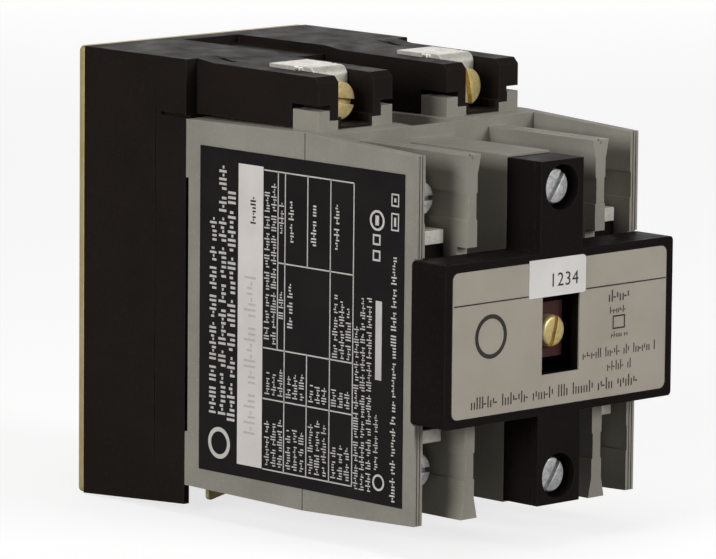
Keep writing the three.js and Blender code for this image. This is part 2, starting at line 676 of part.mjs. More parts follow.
// Strip from the fixed contact inside a cartridge out to the ledge under a terminal screw. Its tab
// hooks over the front edge of the cartridge's deeper middle.
function contactTerminal(x, end) {
  const back = FIXED_CONTACT - 2.0;
  const front = PLATFORM + SEAT + STRIP;
  const z = AXIS_Z + end * TERMINAL_RISE;
  const face = ended(x, STRIP_HALF, PLATFORM + SEAT, front, STRIP_TURN, 33, end);
  const riser = ended(x, STRIP_HALF, back, front, STRIP_TURN, STRIP_TURN + STRIP, end);
  const foot = ended(x, 2.6, back, back + STRIP, 6.4, STRIP_TURN + STRIP, end);
  const tip = bar(x, AXIS_Z + end * 8.4, 1.7, back + 0.5, FIXED_CONTACT, 16);
  const lipBack = STEP_FRONT + 0.2;
  const tab = ended(x, STRIP_HALF, front - 0.5, lipBack + STRIP, STRIP_TURN, STRIP_TURN + STRIP, end);
  const lip = ended(x, STRIP_HALF, lipBack, lipBack + STRIP, 18.7, STRIP_TURN + STRIP, end);
  return cut(join(face, riser, foot, tip, tab, lip), bar(x, z, 2.0, 85, 100, 16));
}

// Plunger that grips the crossbar from both sides and carries the bridge on its stem.
function plunger(x) {
  const half = 2.2;
  const grip = CROSSBAR_FRONT + FIT;
  const hookBack = CROSSBAR_BACK - FIT;
  const web = boxAt(x, AXIS_Z, half, 6.8, grip, grip + 2);
  const stem = boxAt(x, AXIS_Z, half, half, grip + 1, BRIDGE_BACK - SEAT);
  const pin = bar(x, AXIS_Z, 1.1, BRIDGE_BACK - 1, 92, 12);
  const head = bar(x, AXIS_Z, 2.6, 91.4, 93, 16);
  let body = join(web, stem, pin, head);
  for (const [, end] of ENDS) {
    const arm = ended(x, half, hookBack - 1.5, grip + 1, 5.3, 6.8, end);
    const hook = ended(x, half, hookBack - 1.5, hookBack, 3.5, 5.5, end);
    body = join(body, arm, hook);
  }
  return body;
}

function contactBridge(x) {
  const body = boxAt(x, AXIS_Z, 2.6, 10.6, BRIDGE_BACK, BRIDGE_BACK + 1.2);
  return cut(body, bar(x, AXIS_Z, 1.4, BRIDGE_BACK - 1, BRIDGE_BACK + 3, 12));
}

const CONTACT_CLAMP = PLATFORM + SEAT + STRIP + 0.2;
const CONTACT_SCREW_SEAT = CONTACT_CLAMP + CLAMP_THICK + SEAT;

// ---- assembly ----
place("mounting_plate", mountingPlate(), CHROMATE);
place("base_housing", baseHousing(), BLACK_MOULDING);
place("contact_block", contactBlock(), GREY_MOULDING);
place("front_cover", frontCover(), BLACK_MOULDING);
place("nameplate", nameplate(), PLATE_GREY);
place("number_sticker", numberSticker(), PAPER_WHITE);
place("rating_label", ratingLabel(), LABEL_BLACK);

for (const [name, end] of ENDS) {
  const z = AXIS_Z + end * COVER_SCREW_RISE;
  const screw = slottedScrew(0, z, 3.5, 2.0, COVER_SCREW_SEAT, 1.7, 96.6, -0.95);
  place(`cover_screw_${name}`, screw, STEEL);
  place(`cover_washer_${name}`, coverWasher(end), STEEL);
  place(`shading_ring_${name}`, shadingRing(end), COPPER);
}

place("core_cushion", boxAt(0, AXIS_Z, 10, 28, PLATE_THICK + SEAT, 3.1), RUBBER);
place("fixed_core", fixedCore(), SILICON_STEEL);
place("coil_bobbin", coilBobbin(), NYLON);
place("coil_winding", wound(11.9, 9.9, 18.3, 19.4, 0.8, 4), COPPER);
place("coil_tape", wound(18.6, 19.7, 19.1, 20.2, 4.2, 4.7), TAPE);
place("armature", armature(), SILICON_STEEL);
place("carrier", carrier(), MAROON_MOULDING);
const carrierScrew = slottedScrew(0, AXIS_Z, 3.25, 2.4, CARRIER_FACE + SEAT, 1.75, 41, 1.35);
place("carrier_screw", carrierScrew, BRASS);

const SPRING_FRONT = CROSSBAR_BACK - SEAT;
const STEM_HEAD = 91.3; // depth of the back of a plunger's spring head
const SHANK = 1.75;
const COIL_SLOT_ANGLE = { left: 0.15, right: 1.35 };
for (const [name, side] of SIDES) {
  const x = side * COIL_SCREW_X;
  const coilScrew = [x, COIL_SCREW_Z, 3.95, 2.0, COIL_SCREW_SEAT, SHANK, 56, COIL_SLOT_ANGLE[name]];
  place(`block_clip_${name}`, blockClip(side), CHROMATE);
  place(`coil_lead_${name}`, coilLead(side), PVC);
  place(`coil_terminal_${name}`, coilTerminal(side), PLATED);
  place(`coil_clamp_${name}`, clampPlate(x, COIL_SCREW_Z, 3.3, COIL_CLAMP), PLATED);
  place(`coil_screw_${name}`, slottedScrew(...coilScrew), BRASS);
  const cx = side * CARTRIDGE_X;
  const returnSpring = spring(cx, AXIS_Z, 2.5, 0.4, BASE_FRONT + SEAT, SPRING_FRONT, 6, 10);
  const contactSpring = spring(cx, AXIS_Z, 1.9, 0.3, BRIDGE_BACK + 1.3, STEM_HEAD, 4, 9);
  place(`return_spring_${name}`, returnSpring, SPRING_STEEL);
  place(`cartridge_${name}`, cartridgeBody(cx), BLACK_MOULDING);
  place(`plunger_${name}`, plunger(cx), MAROON_MOULDING);
  place(`bridge_${name}`, contactBridge(cx), COPPER);
  place(`contact_spring_${name}`, contactSpring, SPRING_STEEL);
  for (const [level, end] of ENDS) {
    const z = AXIS_Z + end * TERMINAL_RISE;
    const screw = slottedScrew(cx, z, 3.45, 2.3, CONTACT_SCREW_SEAT, SHANK, 83, 0);
    place(`contact_terminal_${name}_${level}`, contactTerminal(cx, end), PLATED);
    place(`contact_clamp_${name}_${level}`, clampPlate(cx, z, 3.5, CONTACT_CLAMP), PLATED);
    place(`contact_screw_${name}_${level}`, screw, STEEL);
  }
}

export default relay;
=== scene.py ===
"""Looks of an industrial control relay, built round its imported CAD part.

Metres. +Z is up and the relay faces -Y. Pieces are placed by the boxes of their CAD nodes; detail
finer than a box is a named length.
"""

import json
import math
import random

import bmesh
import bpy
from mathutils import Matrix, Vector


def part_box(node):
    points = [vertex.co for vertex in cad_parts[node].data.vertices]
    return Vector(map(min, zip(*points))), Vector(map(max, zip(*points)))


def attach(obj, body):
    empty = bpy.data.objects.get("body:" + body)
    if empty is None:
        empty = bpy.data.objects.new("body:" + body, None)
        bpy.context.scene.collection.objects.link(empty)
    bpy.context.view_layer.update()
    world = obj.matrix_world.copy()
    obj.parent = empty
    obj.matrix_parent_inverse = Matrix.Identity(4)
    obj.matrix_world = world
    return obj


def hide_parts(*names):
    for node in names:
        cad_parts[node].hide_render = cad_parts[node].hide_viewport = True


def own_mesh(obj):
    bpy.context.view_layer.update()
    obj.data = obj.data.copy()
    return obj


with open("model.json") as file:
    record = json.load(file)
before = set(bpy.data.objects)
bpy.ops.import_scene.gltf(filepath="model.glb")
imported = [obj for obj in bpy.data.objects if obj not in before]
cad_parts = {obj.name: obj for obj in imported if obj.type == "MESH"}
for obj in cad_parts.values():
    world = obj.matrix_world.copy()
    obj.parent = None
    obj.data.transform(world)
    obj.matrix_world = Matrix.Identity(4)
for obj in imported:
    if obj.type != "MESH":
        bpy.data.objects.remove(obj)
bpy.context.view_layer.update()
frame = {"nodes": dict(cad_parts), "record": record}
RECORD = frame["record"]
BODY_OF = {node: body for body, nodes in RECORD["behaviour"]["bodies"].items() for node in nodes}
SLOT_OF = {part["node"]: part["material_slot"] for part in RECORD["subparts"]}
SIDES = {"left": -1, "right": 1}
ENDS = {"top": 1, "bottom": -1}
MM = 0.001


class Extent:
    """How far a CAD node reaches at rest."""

    def __init__(self, node):
        low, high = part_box(node)
        self.left, self.front, self.bottom = low
        self.right, self.back, self.top = high
        self.x, self.y, self.z = (low + high) / 2
        self.width, self.depth, self.height = high - low


BLOCK = Extent("contact_block")
COVER = Extent("front_cover")
NAMEPLATE = Extent("nameplate")
LABEL = Extent("rating_label")
STICKER = Extent("number_sticker")
CARRIER = Extent("carrier")
PLATE = Extent("mounting_plate")
HOUSING = Extent("base_housing")
AXIS_Z = CARRIER.z


# ---- materials ----
def tint(red, green, blue):
    """Linear colour of a display colour given from 0 to 255."""
    linear = [((v / 255 + 0.055) / 1.055) ** 2.4 if v > 10 else v / 255 / 12.92 for v in (red, green, blue)]
    return (*linear, 1.0)


class Look:
    """A node material being built. Its textures sit in object space, in millimetres."""

    def __init__(self, name):
        self.material = bpy.data.materials.new(name)
        self.material.use_nodes = True
        self.tree = self.material.node_tree
        self.tree.nodes.clear()
        self.shader = self.node("ShaderNodeBsdfPrincipled")
        output = self.node("ShaderNodeOutputMaterial")
        self.join(self.shader.outputs["BSDF"], output.inputs["Surface"])
        scale = self.node("ShaderNodeVectorMath", operation="SCALE")
        scale.inputs["Scale"].default_value = 1 / MM
        self.join(self.node("ShaderNodeTexCoord").outputs["Object"], scale.inputs[0])
        self.place = scale.outputs[0]
        self.last_bump = None

    def node(self, kind, **settings):
        made = self.tree.nodes.new(kind)
        for key, value in settings.items():
            setattr(made, key, value)
        return made

    def join(self, source, target):
        self.tree.links.new(source, target)

    def feed(self, target, value):
        if isinstance(value, bpy.types.NodeSocket):
            self.join(value, target)
        else:
            target.default_value = value

    def set(self, **inputs):
        for key, value in inputs.items():
            self.feed(self.shader.inputs[key.replace("_", " ")], value)

    def noise(self, size, detail=3, stretch=(1, 1, 1), rough=0.5, warp=0.0):
        """Noise from 0 to 1 with blotches of about size millimetres, stretched along the axes."""
        mapping = self.node("ShaderNodeMapping")
        mapping.inputs["Scale"].default_value = [1 / (size * s) for s in stretch]
        self.join(self.place, mapping.inputs["Vector"])
        noise = self.node("ShaderNodeTexNoise")
        noise.inputs["Scale"].default_value = 1
        noise.inputs["Detail"].default_value = detail
        noise.inputs["Roughness"].default_value = rough
        noise.inputs["Distortion"].default_value = warp
        self.join(mapping.outputs[0], noise.inputs["Vector"])
        return noise.outputs["Fac"]

    def span(self, value, low, high, to_low=0.0, to_high=1.0):
        """Stretches value from low..high to to_low..to_high, held at the ends."""
        spread = self.node("ShaderNodeMapRange")
        for key, number in (("From Min", low), ("From Max", high), ("To Min", to_low), ("To Max", to_high)):
            spread.inputs[key].default_value = number
        self.join(value, spread.inputs["Value"])
        return spread.outputs["Result"]

    def math(self, operation, a, b):
        made = self.node("ShaderNodeMath", operation=operation)
        self.feed(made.inputs[0], a)
        self.feed(made.inputs[1], b)
        return made.outputs[0]

    def mix(self, factor, a, b):
        made = self.node("ShaderNodeMix", data_type="RGBA")
        self.feed(made.inputs[0], factor)
        self.feed(made.inputs[6], a)
        self.feed(made.inputs[7], b)
        return made.outputs[2]

    def edges(self, radius):
        """1 on edges that stick out or fold in, 0 on flat faces."""
        bevel = self.node("ShaderNodeBevel", samples=4)
        bevel.inputs["Radius"].default_value = radius * MM
        normal = self.node("ShaderNodeNewGeometry").outputs["Normal"]
        dot = self.node("ShaderNodeVectorMath", operation="DOT_PRODUCT")
        self.join(bevel.outputs["Normal"], dot.inputs[0])
        self.join(normal, dot.inputs[1])
        return self.span(dot.outputs["Value"], 0.99, 0.85)

    def bump(self, height, lift, strength=1.0):
        """Raises the surface by up to lift millimetres where height is 1."""
        made = self.node("ShaderNodeBump")
        made.inputs["Distance"].default_value = lift * MM
        made.inputs["Strength"].default_value = strength
        self.join(height, made.inputs["Height"])
        if self.last_bump:
            self.join(self.last_bump, made.inputs["Normal"])
        self.last_bump = made.outputs["Normal"]
        self.feed(self.shader.inputs["Normal"], self.last_bump)


def moulding(name, colour, rub, rough, shine, grain=0.02, worn_most=0.8):
    """Moulded plastic: clouded colour, rubbed edges, faint scratches and a fine grain."""
    look = Look(name)
    cloud = look.noise(14, 4)
    speck = look.noise(0.5, 2)
    deep = [c * 0.82 for c in colour[:3]] + [1]
    base = look.mix(look.span(cloud, 0.35, 0.7), deep, colour)
    base = look.mix(look.span(speck, 0.55, 0.8, 0, 0.25), base, rub)
    patchy = look.span(look.noise(3, 4), 0.35, 0.65, 0.2 * worn_most, worn_most)
    worn = look.math("MULTIPLY", look.edges(0.35), patchy)
    base = look.mix(worn, base, rub)
    scratch = look.noise(1.2, 5, (1, 14, 0.5), 0.7)
    look.set(
        Base_Color=base,
        Roughness=look.span(look.noise(5, 5), 0.3, 0.7, rough - 0.07, rough + 0.1),
        IOR=1.5,
    )
    look.shader.inputs["Specular IOR Level"].default_value = shine
    look.bump(look.noise(0.35, 3), grain)
    look.bump(look.span(scratch, 0.62, 0.72), -0.01)
    return look.material


def metal(name, bright, dull, rough, blotch=2.5, brushed=(1, 1, 1), grain=0.012, bare=1.0):
    """Metal in two tones, brushed along one axis, with polished edges.

    bare is 1 with no dull film on it.
    """
    look = Look(name)
    patches = look.span(look.noise(blotch, 6, rough=0.65, warp=0.6), 0.38, 0.66)
    tone = look.mix(patches, bright, dull)
    polished = [min(1, c * 1.25) for c in bright[:3]] + [1]
    tone = look.mix(look.math("MULTIPLY", look.edges(0.25), 0.6), tone, polished)
    streak = look.noise(0.3, 4, brushed, 0.6)
    look.set(
        Base_Color=tone,
        Metallic=bare,
        Roughness=look.math("ADD", look.span(streak, 0.3, 0.7, rough - 0.06, rough + 0.08),
                            look.math("MULTIPLY", patches, 0.12)),
    )
    look.bump(streak, grain)
    look.bump(look.noise(1.4, 3), grain)
    return look.material


def film(name, colour, shade, rough, weave=0.004, dusty=0.2):
    """Printed film, paper or tape."""
    look = Look(name)
    base = look.mix(look.span(look.noise(9, 5), 0.35, 0.7), colour, shade)
    dust = look.span(look.noise(0.8, 4, rough=0.7), 0.62, 0.8, 0, dusty)
    look.set(
        Base_Color=look.mix(dust, base, tint(150, 145, 138)),
        Roughness=look.span(look.noise(6, 5), 0.3, 0.7, rough - 0.05, rough + 0.08),
    )
    look.shader.inputs["Specular IOR Level"].default_value = 0.3
    look.bump(look.noise(0.4, 3), weave)
    look.bump(look.noise(16, 2), 0.12)
    return look.material


def moulded_looks():
    """Plastics and rubber: colour, rubbed colour, roughness and shine."""
    return {
        "black_moulding": moulding("black_moulding", tint(26, 21, 20), tint(54, 48, 43), 0.5, 0.07),
        # Painted light: a lighter, browner copy of the black moulding, so the housing matches the
        # reflection on its top.
        "painted_sheen_housing_moulding": moulding("painted_sheen_housing_moulding", tint(36, 30, 27), tint(60, 53, 47), 0.5, 0.07),
        "grey_moulding": moulding(
            "grey_moulding", tint(158, 154, 143), tint(190, 186, 176), 0.55, 0.3, worn_most=0.4
        ),
        # Painted shade: a near-black copy of the black moulding, standing in for the deep shade inside the
        # cover's window.
        "painted_shade_moulding": moulding("painted_shade_moulding", tint(9, 8, 8), tint(16, 15, 14), 0.7, 0.03),
        "maroon_moulding": moulding("maroon_moulding", tint(74, 38, 38), tint(110, 66, 62), 0.5, 0.3),
        "nylon": moulding("nylon", tint(216, 210, 190), tint(232, 228, 214), 0.5, 0.4),
        "rubber_pad": moulding("rubber_pad", tint(38, 37, 36), tint(66, 64, 62), 0.85, 0.15, 0.05),
        "lead_insulation": moulding("lead_insulation", tint(34, 35, 40), tint(70, 70, 74), 0.5, 0.3),
    }


def metal_looks():
    """Metals: bright tone, dull tone, roughness, blotch size and the way they are brushed."""
    return {
        "chromated_steel": metal(
            "chromated_steel", tint(222, 206, 150), tint(202, 180, 122), 0.36, 9, bare=0.5
        ),
        "laminated_steel": metal(
            "laminated_steel", tint(150, 151, 154), tint(104, 102, 102), 0.4, 3, (0.3, 6, 6)
        ),
        "plated_copper": metal(
            "plated_copper", tint(250, 247, 238), tint(222, 216, 200), 0.3, 2, (1, 8, 1), bare=0.5
        ),
        "zinc_steel": metal("zinc_steel", tint(238, 238, 238), tint(176, 176, 176), 0.34, 1.4, bare=0.55),
        "spring_steel": metal("spring_steel", tint(176, 178, 182), tint(120, 118, 118), 0.3, 2),
        "brass": metal("brass", tint(248, 228, 160), tint(212, 182, 124), 0.32, 1.6, bare=0.5),
        "copper": metal("copper", tint(206, 134, 92), tint(140, 80, 56), 0.32, 2.2, (8, 1, 1)),
    }


def film_looks():
    """Printed films, papers and inks: colour, shade and roughness."""
    return {
        "coil_tape": film("coil_tape", tint(204, 184, 92), tint(180, 156, 70), 0.35),
        "nameplate_grey": film("nameplate_grey", tint(182, 174, 161), tint(174, 166, 153), 0.42),
        "sticker_white": film("sticker_white", tint(242, 239, 235), tint(232, 228, 223), 0.55),
        "label_black": film("label_black", tint(20, 17, 17), tint(26, 23, 22), 0.4, dusty=0.05),
        "silver_print": film("silver_print", tint(236, 229, 225), tint(222, 216, 212), 0.4),
        "white_ink": film("white_ink", tint(216, 213, 208), tint(200, 196, 190), 0.5),
        "dark_ink": film("dark_ink", tint(58, 54, 50), tint(48, 45, 42), 0.5),
        "faint_ink": film("faint_ink", tint(206, 200, 196), tint(198, 192, 188), 0.45),
    }


LOOKS = {**moulded_looks(), **metal_looks(), **film_looks()}


# ---- mesh helpers ----
def add_object(name, mesh):
    made = bpy.data.objects.new(name, mesh)
    bpy.context.scene.collection.objects.link(made)
    return made


def from_bmesh(name, bm):
    bmesh.ops.recalc_face_normals(bm, faces=bm.faces)
    mesh = bpy.data.meshes.new(name)
    bm.to_mesh(mesh)
    bm.free()
    return add_object(name, mesh)


def add_box(bm, left, right, front, back, bottom, top):
    middle = Vector(((left + right) / 2, (front + back) / 2, (bottom + top) / 2))
    size = Matrix.Diagonal((right - left, back - front, top - bottom, 1))
    bmesh.ops.create_cube(bm, size=1, matrix=Matrix.Translation(middle) @ size)


def bake(obj):
    """Makes the modifiers of obj part of its mesh."""
    plain = obj.data
    graph = bpy.context.evaluated_depsgraph_get()
    solved = obj.evaluated_get(graph)
    obj.data = bpy.data.meshes.new_from_object(solved, preserve_all_data_layers=True, depsgraph=graph)
    obj.modifiers.clear()
    bpy.data.meshes.remove(plain)


def carve(obj, cutter_mesh, operation="DIFFERENCE"):
    """Cuts the closed shapes of a bmesh out of obj, or joins them to it with UNION."""
    cutter = from_bmesh("cutter", cutter_mesh)
    step = obj.modifiers.new("carve", "BOOLEAN")
    step.operation = operation
    step.solver = "EXACT"
    step.use_self = True
    step.object = cutter
    bake(obj)
    bpy.data.meshes.remove(cutter.data)


def weld(obj):
    """Turns a CAD mesh's loose triangles back into whole faces."""
    bm = bmesh.new()
    bm.from_mesh(obj.data)
    bmesh.ops.remove_doubles(bm, verts=bm.verts, dist=0.002 * MM)
    bmesh.ops.dissolve_limit(bm, angle_limit=math.radians(0.6), verts=bm.verts, edges=bm.edges)
    bmesh.ops.recalc_face_normals(bm, faces=bm.faces)
    bm.to_mesh(obj.data)
    bm.free()


def round_edges(obj, width, segments=3, angle=32):
    step = obj.modifiers.new("edges", "BEVEL")
    step.width = width * MM
    step.segments = segments
    step.limit_method = "ANGLE"
    step.angle_limit = math.radians(angle)
    step.use_clamp_overlap = True
    bake(obj)


def smooth(obj, angle=38):
    """Shades rounded edges smoothly while the wide faces stay flat."""
    obj.data.shade_smooth()
    obj.data.set_sharp_from_angle(angle=math.radians(angle))
    step = obj.modifiers.new("normals", "WEIGHTED_NORMAL")
    step.keep_sharp = True
    bake(obj)


def settle(obj, node, look=None, stands_for=True):
    """Gives a finished piece the material, slot and body of a CAD node."""
    obj.data.materials.clear()
    obj.data.materials.append(LOOKS[look or SLOT_OF[node]])
    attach(obj, BODY_OF[node])
    if stands_for:
        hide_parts(node)
    return obj


def skin(node, edge, cuts=None, segments=3, fill=None, look=None):
    """A piece with the CAD node's shape, whole faces, filled and cut details and rounded edges."""
    made = add_object(node + "_skin", frame["nodes"][node].data.copy())
    weld(made)
    if fill:
        carve(made, fill, "UNION")
        weld(made)
    if cuts:
        carve(made, cuts)
        weld(made)
    if edge:
        round_edges(made, edge, segments)
    smooth(made)
    return settle(made, node, look)


# ---- mouldings ----
SEAM_Y = -68.5 * MM  # parting line round the contact block
SLOT_BACK_Y = -73.1 * MM  # floor of the cartridge slots
WALL_INSET = 2.2 * MM
WALL_FRONT = BLOCK.front + WALL_INSET
RAIL_X = 18.4 * MM
HOUSING_FRONT = -33 * MM  # front face of the housing, between its arms
ARM_INNER = 7.85 * MM
ARM_OUTER = 28.6 * MM
POST_HALF = 6.05 * MM
COVER_WALL = 2.2 * MM
BAR_RISE = 16.5 * MM
WINDOW_HALF = 5.35 * MM
WINDOW_RISE = 8.25 * MM
CARRIER_SHAFT_HALF = 4.7 * MM
CARRIER_SHAFT_RISE = 5.7 * MM
LINE = 0.28 * MM  # width of a fine moulded line
PAST = 1 * MM  # how far a cut runs past the surface it opens


def block_edge_cuts(bm, side):
    """Parting line down one side of the block, and two fine grooves in the front of its wall."""
    below = BLOCK.bottom - PAST
    above = BLOCK.top + PAST
    face = side * BLOCK.right
    span = sorted((face - side * LINE, face + side * PAST))
    add_box(bm, *span, SEAM_Y - LINE / 2, SEAM_Y + LINE / 2, below, above)
    groove_back = WALL_FRONT + 0.35 * MM
    for inset in (0.75 * MM, 1.5 * MM):
        middle = face - side * inset
        add_box(bm, middle - LINE / 2, middle + LINE / 2, WALL_FRONT - PAST, groove_back, below, above)


def rail_cuts(bm, rail):
    """Groove along the top of a divider, with a notch at its front."""
    top = 33.6 * MM
    floor = top - 0.4 * MM
    front, back = BLOCK.front - PAST, SLOT_BACK_Y - PAST
    add_box(bm, rail - LINE, rail + LINE, front, back, floor, BLOCK.top + PAST)
    notch = Matrix.Translation((rail, BLOCK.front, top)) @ Matrix.Rotation(math.radians(45), 4, "Y")
    bmesh.ops.create_cube(bm, size=1.5 * MM, matrix=notch)


def step_cuts(bm, side):
    """Shallow steps in the walls of a cartridge position, above and below the cover's bar."""
    rail = side * RAIL_X
    out = 1.5 * MM
    inner = side * (BLOCK.right - WALL_INSET + 0.15 * MM)
    back = SLOT_BACK_Y - 0.5 * MM
    for end in ENDS.values():
        low, high = sorted((AXIS_Z + end * 23.6 * MM, AXIS_Z + end * 29.0 * MM))
        for hand in (-1, 1):
            near = rail + hand * 1.12 * MM
            add_box(bm, *sorted((near, near + hand * out)), BLOCK.front - PAST, back, low, high)
        add_box(bm, *sorted((inner, inner - side * out)), WALL_FRONT - PAST, back, low, high)


def block_cuts():
    bm = bmesh.new()
    for side in SIDES.values():
        block_edge_cuts(bm, side)
        rail_cuts(bm, side * RAIL_X)
        step_cuts(bm, side)
    return bm


def housing_cuts():
    """Seam and slit in each side of the housing, and a short groove on top of each arm."""
    bm = bmesh.new()
    seam_y = -23.7 * MM
    seam_half = LINE / 3
    seam_low, seam_high = HOUSING.bottom + 8 * MM, HOUSING.top - 1.6 * MM
    slit_z = 35.6 * MM
    slit_half = 0.35 * MM
    slit_front, slit_back = -34 * MM, -25.3 * MM
    groove_inner = 23.05 * MM
    groove_bend = -34.8 * MM
    grooves = ((23.4 * MM, groove_bend, -31.9 * MM), (24.4 * MM, -39.2 * MM, groove_bend))
    for side in SIDES.values():
        face = side * HOUSING.right
        shallow = sorted((face - side * 0.25 * MM, face + side * PAST))
        deep = sorted((face - side * 1.2 * MM, face + side * PAST))
        add_box(bm, *shallow, seam_y - seam_half, seam_y + seam_half, seam_low, seam_high)
        add_box(bm, *deep, slit_front, slit_back, slit_z - slit_half, slit_z + slit_half)
        for outer, front, back in grooves:
            span = sorted((side * groove_inner, side * outer))
            add_box(bm, *span, front, back, seam_high, HOUSING.top + PAST)
    return bm


def arm_ramps():
    """Shallow ramps that lead from the top of the housing down to the tops of the arms."""
    bm = bmesh.new()
    top = HOUSING.top
    under = top - PAST
    start = HOUSING_FRONT + 0.5 * MM
    end = HOUSING_FRONT - 5 * MM
    low = top - 0.6 * MM
    profile = ((start, under), (start, top), (HOUSING_FRONT, top), (end, low), (end, under))
    for side in SIDES.values():
        rings = []
        for x in (side * ARM_INNER, side * ARM_OUTER):
            rings.append([bm.verts.new((x, y, z)) for y, z in profile])
        for i in range(len(profile)):
            j = (i + 1) % len(profile)
            bm.faces.new((rings[0][i], rings[0][j], rings[1][j], rings[1][i]))
        bm.faces.new(rings[0][::-1])
        bm.faces.new(rings[1])
    return bm


def cover_cuts():
    """A fine line round the cover's column and bar, just behind the front face."""
    bm = bmesh.new()
    back = COVER.front + 1.9 * MM
    deep = 0.7 * LINE
    beyond = 40 * MM
    for side in SIDES.values():
        x = side * POST_HALF
        for end in ENDS.values():
            low, high = sorted((AXIS_Z + end * (BAR_RISE + 0.7 * MM), AXIS_Z + end * beyond))
            add_box(bm, *sorted((x - side * deep, x + side * PAST)), back - LINE, back, low, high)
    for end in ENDS.values():
        z = AXIS_Z + end * BAR_RISE
        span = sorted((z - end * deep, z + end * PAST))
        for side in SIDES.values():
            outside = sorted((side * (POST_HALF + PAST), side * beyond))
            add_box(bm, *outside, back - LINE, back, *span)
    return bm


def window_sleeve():
    """Black sleeve that lines the window back to the post and closes to a lip round the carrier. Its
    near-black colour, darker than the cover's moulding, is painted shade for the inside of the window.
    """
    wall = 0.65 * MM
    lip = 1.2 * MM
    clear = 0.25 * MM
    front = COVER.front + COVER_WALL + 0.05 * MM
    rise = WINDOW_RISE + wall
    block = bmesh.new()
    add_box(block, -WINDOW_HALF - wall, WINDOW_HALF + wall, front, COVER.back, AXIS_Z - rise, AXIS_Z + rise)
    sleeve = from_bmesh("front_cover_sleeve", block)
    opening = bmesh.new()
    low, high = AXIS_Z - WINDOW_RISE, AXIS_Z + WINDOW_RISE
    add_box(opening, -WINDOW_HALF, WINDOW_HALF, front - PAST, COVER.back - lip, low, high)
    carve(sleeve, opening)
    room = bmesh.new()
    half = CARRIER_SHAFT_HALF + clear
    low, high = AXIS_Z - CARRIER_SHAFT_RISE - clear, AXIS_Z + CARRIER_SHAFT_RISE + clear
    add_box(room, -half, half, front - PAST, COVER.back + PAST, low, high)
    carve(sleeve, room)
    # Painted shade: the sleeve takes the near-black moulding, darker than the cover, for the dark inside of
    # the window.
    settle(sleeve, "front_cover", "painted_shade_moulding", stands_for=False)


def strap_cuts(side):
    """Small notches in the long edges of a coil terminal's strap."""
    bm = bmesh.new()
    strap = Extent(f"coil_terminal_{side}")
    deep = 1 * MM
    front, back = -57.7 * MM, -56.7 * MM
    for hand in (-1, 1):
        edge = strap.x + hand * strap.width / 2
        notch = sorted((edge - hand * deep, edge + hand * PAST))
        add_box(bm, *notch, front, back, strap.top - 2 * MM, strap.top + PAST)
    return bm


def build_mouldings():
    skin("mounting_plate", 0.25)
    # The housing takes the lighter copy of the black moulding: painted light for the reflection on its top.
    skin("base_housing", 0.55, housing_cuts(), fill=arm_ramps(), look="painted_sheen_housing_moulding")
    skin("contact_block", 0.22, block_cuts())
    skin("front_cover", 0.5, cover_cuts())
    window_sleeve()
    skin("nameplate", 0.08, segments=2)
    skin("rating_label", 0.05, segments=2)
    skin("carrier", 0.3)
    skin("core_cushion", 0.3)
    skin("coil_bobbin", 0.3)
    skin("coil_winding", 0.4)
    skin("coil_tape", 0.1)
    for name in SIDES:
        skin(f"cartridge_{name}", 0.3)
        skin(f"plunger_{name}", 0.25)
        skin(f"block_clip_{name}", 0.15)


def build_metalwork():
    for end in ENDS:
        skin(f"shading_ring_{end}", 0.2)
        skin(f"cover_washer_{end}", 0.12)
    for name in SIDES:
        skin(f"coil_terminal_{name}", 0.28, strap_cuts(name))
        skin(f"coil_clamp_{name}", 0.15)
        skin(f"bridge_{name}", 0.25)
        for end in ENDS:
            skin(f"contact_terminal_{name}_{end}", 0.18)
            skin(f"contact_clamp_{name}_{end}", 0.15)


def build_cores():
    for node in ("fixed_core", "armature"):
        skin(node, 0.2)


# ---- screws ----
def lathe(bm, profile, x, z, steps):
    """Turns (radius, y) points about a line along y. A radius may be a function of the angle."""
    rings = []
    for radius, y in profile:
        if radius == 0:
            rings.append([bm.verts.new((x, y, z))])
            continue
        ring = []
        for i in range(steps):
            a = math.tau * i / steps
            r = radius(a) if callable(radius) else radius
            ring.append(bm.verts.new((x + r * math.cos(a), y, z + r * math.sin(a))))
        rings.append(ring)
    for one, two in zip(rings, rings[1:]):
        for i in range(steps):
            j = (i + 1) % steps
            corners = [one[i % len(one)], one[j % len(one)], two[j % len(two)], two[i % len(two)]]
            unique = list(dict.fromkeys(corners))
            bm.faces.new(unique)


THREAD_PITCH = 0.79375 * MM


def screw(node, seat, shank, angle, crown=0.42 * MM):
    """A slotted screw with a crowned head and a turned thread. seat is the y of the head's underside."""
    extent = Extent(node)
    radius = extent.width / 2
    tall = seat - extent.front
    thread = 0.22 * MM
    run = extent.back - seat
    cone = 0.8 * MM
    rings = round((run - cone) / THREAD_PITCH * 8)

    def ridge(y):
        return lambda a: shank - thread * abs(2 * ((y / THREAD_PITCH + a / math.tau) % 1) - 1)

    profile = [(0, extent.back), (shank * 0.55, extent.back)]
    for i in range(rings + 1):
        y = extent.back - cone - (run - cone) * i / rings
        profile.append((ridge(y), y))
    break_edge = 0.12 * MM
    dome = 0.15 * MM
    profile += [(radius - break_edge, seat), (radius, seat - break_edge)]
    for i in range(7):
        a = math.pi / 2 * i / 6
        y = extent.front + crown * (1 - math.sin(a)) + dome
        profile.append((radius - crown * (1 - math.cos(a)), y))
    profile += [(radius * 0.45, extent.front + dome / 5), (0, extent.front)]
    bm = bmesh.new()
    lathe(bm, profile, extent.x, extent.z, 48)
    made = from_bmesh(node + "_turned", bm)
    slot = bmesh.new()
    size = Matrix.Diagonal((3 * radius, 1.5 * tall, 0.3 * radius, 1))
    place = Matrix.Translation((extent.x, extent.front, extent.z)) @ Matrix.Rotation(angle, 4, "Y") @ size
    bmesh.ops.create_cube(slot, size=1, matrix=place)
    carve(made, slot)
    round_edges(made, 0.06, 2, 50)
    smooth(made, 45)
    return settle(made, node)


COVER_SLOT = -0.95
CARRIER_SLOT = -1.29
COIL_SLOT = {"left": 0.15, "right": 1.35}
CONTACT_SLOT = 0.0
REST = 0.1 * MM


